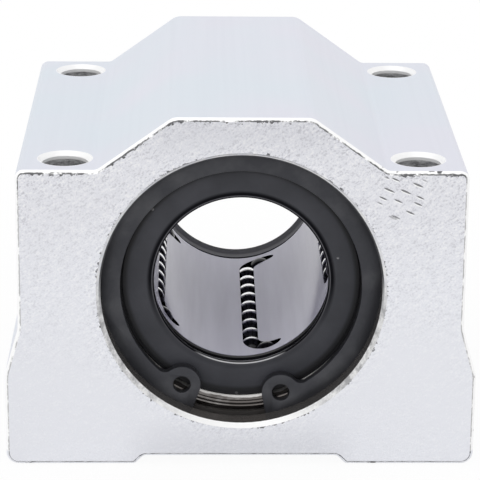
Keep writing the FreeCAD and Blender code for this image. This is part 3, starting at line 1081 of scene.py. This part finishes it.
@dataclass
class EndSeals(SubAssembly):
    """The two moulded seals: body, stepped rim and the undercut lip that wipes the shaft."""

    face: float = 20.8 * MM
    depth: float = 2.0 * MM
    outer_radius: float = 14.1 * MM
    rim_width: float = 0.45 * MM
    rim_step: float = 0.25 * MM
    body_radius: float = 10.5 * MM
    lip_radius: float = 10.0 * MM
    lip_slant: float = 0.15 * MM
    lip_setback: float = 0.12 * MM
    lip_width: float = 0.30 * MM
    undercut_slope: float = 0.45 * MM
    rounding: float = 0.09 * MM
    sharp_over: float = 30.0
    segments: int = 144

    def profile(self, end: End) -> list[tuple[float, float]]:
        """Outline of the seal at an end.

        Args:
            end: The end of the block.

        Returns:
            The outline's (radius, y) points, in metres.
        """
        rim = self.outer_radius - self.rim_width
        lip_face = self.face - self.lip_setback
        lip_back = lip_face - self.lip_width
        outline = [
            (self.lip_radius + self.lip_slant, self.face),
            (rim, self.face),
            (rim, self.face - self.rim_step),
            (self.outer_radius, self.face - self.rim_step),
            (self.outer_radius, self.face - self.depth),
            (self.body_radius, self.face - self.depth),
            (self.body_radius, lip_back - self.undercut_slope),
            (self.lip_radius, lip_back),
            (self.lip_radius, lip_face),
        ]
        return [(radius, end.value * y) for radius, y in outline]

    def build(self) -> None:
        """Model both seals over their CAD nodes."""
        for end in End:
            node = f"{end.word}_seal"
            seal = ring_from_profile(f"{node}_moulded", self.profile(end), self.segments)
            soften_edges(seal, self.rounding, self.sharp_over)
            self.hand_over(seal, "seal_rubber", node)


@dataclass
class Bushing(SubAssembly):
    """Sleeve, cage, inner rings and the balls on their tracks."""

    circuits: int = 5
    ball_rows: tuple[str, ...] = ("load_balls", "return_balls", "front_turn_balls", "rear_turn_balls")

    def dress(self) -> None:
        """Finish every piece of the bushing."""
        self.dress_node("bearing_sleeve", "sleeve_steel")
        self.dress_node("ball_cage", "cage_resin")
        for end in End:
            self.dress_node(f"{end.word}_inner_ring", "ring_steel")
        for number in range(1, self.circuits + 1):
            for row in self.ball_rows:
                self.dress_node(f"{row}_{number}", "ball_steel")


# ---- Studio and view ----
@dataclass
class SoftLamp:
    """Square lamp that looks at the origin: its side in metres and its power in watts."""

    name: str
    place: Point
    side: float
    power: float

    def build(self) -> None:
        """Make the lamp."""
        deselect_all()
        bpy.ops.object.light_add(type="AREA", location=self.place)
        lamp = new_piece(self.name)
        lamp.data.shape = "SQUARE"
        lamp.data.size = self.side
        lamp.data.energy = self.power
        lamp.rotation_euler = Vector(self.place).to_track_quat("Z", "Y").to_euler()


@dataclass
class Studio:
    """Pale floor, soft overhead light and an even surround.

    shadow is the share of the floor's own shading that shows at the object. It fades out over shadow_reach,
    counted from the origin.
    """

    floor_level: float
    floor_size: float = 4.0
    floor_colour: Colour = (0.93, 0.93, 0.93)
    shadow: float = 1.0 / 14.0
    shadow_reach: tuple[float, float] = (0.03, 0.10)
    surround: float = 0.86
    lamps: tuple[SoftLamp, ...] = (
        SoftLamp("overhead_light", (-0.12, -0.10, 0.55), side=0.50, power=0.35),
        SoftLamp("front_light", (-0.25, -0.75, 0.30), side=0.60, power=0.75),
    )

    def build(self) -> None:
        """Make the floor, the lamps and the world."""
        bpy.context.scene.view_settings.view_transform = "Standard"
        deselect_all()
        bpy.ops.mesh.primitive_plane_add(size=self.floor_size, location=(0.0, 0.0, self.floor_level))
        floor = new_piece("studio_floor")
        floor.data.materials.append(self.floor_material())
        floor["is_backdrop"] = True
        for lamp in self.lamps:
            lamp.build()
        self.world()

    def floor_material(self) -> bpy.types.Material:
        """White floor that keeps a faint shadow near the object.

        Returns:
            The floor's material.
        """
        recipe = Recipe("studio_paper", roughness=0.9)
        recipe.join(self.floor_colour, recipe.shader.inputs["Base Color"])
        recipe.join(0.0, recipe.shader.inputs["Specular IOR Level"])
        paths = recipe.node("ShaderNodeLightPath")
        seen = recipe.larger(paths.outputs["Is Camera Ray"], paths.outputs["Is Glossy Ray"])
        seen = recipe.larger(seen, paths.outputs["Is Transmission Ray"])
        distance = recipe.node("ShaderNodeVectorMath", operation="LENGTH")
        recipe.join(recipe.place, distance.inputs[0])
        away = recipe.window(distance.outputs["Value"], *self.shadow_reach)
        white = recipe.times(seen, recipe.window(away, 1.0 - 1.0 / self.shadow, 1.0))
        mixed = recipe.node("ShaderNodeMixShader")
        recipe.join(white, mixed.inputs[0])
        recipe.join(recipe.shader.outputs[0], mixed.inputs[1])
        recipe.join(recipe.node("ShaderNodeEmission").outputs[0], mixed.inputs[2])
        recipe.join(mixed.outputs[0], recipe.tree.nodes["Material Output"].inputs["Surface"])
        return recipe.material

    def world(self) -> None:
        """Make an even surround that the camera and reflections see as white."""
        world = bpy.data.worlds.new("studio_surround")
        bpy.context.scene.world = world
        world.use_nodes = True
        tree = world.node_tree
        tree.nodes.clear()
        even, seen = (tree.nodes.new("ShaderNodeBackground") for _ in range(2))
        for background in (even, seen):
            background.inputs["Color"].default_value = (1.0, 1.0, 1.0, 1.0)
        even.inputs["Strength"].default_value = self.surround
        paths = tree.nodes.new("ShaderNodeLightPath")
        camera_or_glossy, any_seen = (tree.nodes.new("ShaderNodeMath") for _ in range(2))
        camera_or_glossy.operation = any_seen.operation = "MAXIMUM"
        mixed = tree.nodes.new("ShaderNodeMixShader")
        output = tree.nodes.new("ShaderNodeOutputWorld")
        for source, target in (
            (paths.outputs["Is Camera Ray"], camera_or_glossy.inputs[0]),
            (paths.outputs["Is Glossy Ray"], camera_or_glossy.inputs[1]),
            (camera_or_glossy.outputs[0], any_seen.inputs[0]),
            (paths.outputs["Is Transmission Ray"], any_seen.inputs[1]),
            (any_seen.outputs[0], mixed.inputs[0]),
            (even.outputs[0], mixed.inputs[1]),
            (seen.outputs[0], mixed.inputs[2]),
            (mixed.outputs[0], output.inputs["Surface"]),
        ):
            tree.links.new(source, target)


@dataclass
class ViewPoint:
    """Camera that looks down on the front end face, with its turns in degrees and its lens in millimetres."""

    place: Point = (-0.0053, -0.28523, 0.09245)
    yaw: float = 1.842
    pitch: float = 18.475
    roll: float = 0.729
    lens: float = 183.05
    sensor: float = 36.0
    shift: tuple[float, float] = (-0.0614, 0.0161)
    nearest: float = 0.01

    def build(self) -> None:
        """Make the camera and look through it."""
        deselect_all()
        bpy.ops.object.camera_add(location=self.place)
        camera = bpy.context.active_object
        camera.name = "main_camera"
        turn = Matrix.Rotation(math.radians(-self.yaw), 4, "Z")
        tilt = Matrix.Rotation(math.radians(90.0 - self.pitch), 4, "X")
        lean = Matrix.Rotation(math.radians(self.roll), 4, "Z")
        camera.matrix_world = Matrix.Translation(self.place) @ turn @ tilt @ lean
        camera.data.sensor_width = self.sensor
        camera.data.lens = self.lens
        camera.data.shift_x, camera.data.shift_y = self.shift
        camera.data.clip_start = self.nearest
        bpy.context.scene.camera = camera


# ---- Scene ----
def finishes() -> dict[str, bpy.types.Material]:
    """Every material, by its slot in the record.

    Returns:
        The materials.
    """
    recipes = (
        AnodisedBlock(),
        DarkMetal("circlip_steel"),
        TurnedSteel("sleeve_steel"),
        TurnedSteel("ring_steel", colour=(0.30, 0.30, 0.31)),
        PolishedSteel(),
        CageResin(),
        MouldedRubber(),
    )
    return {recipe.name: recipe.material() for recipe in recipes}


def main() -> None:
    """Load the frame, dress and add the pieces, and light them."""
    logging.basicConfig(level=logging.INFO, format="%(message)s")
    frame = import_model()
    cad_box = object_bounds()
    nodes, materials = frame["nodes"], finishes()

    ViewPoint().build()
    housing = HousingBlock(nodes, materials)
    housing.dress()
    housing.build()
    RetainingRings(nodes, materials).build()
    EndSeals(nodes, materials).build()
    Bushing(nodes, materials).dress()
    Studio(floor_level=cad_box[0][2] - 0.02 * MM).build()


if __name__ == "__main__":
    main()
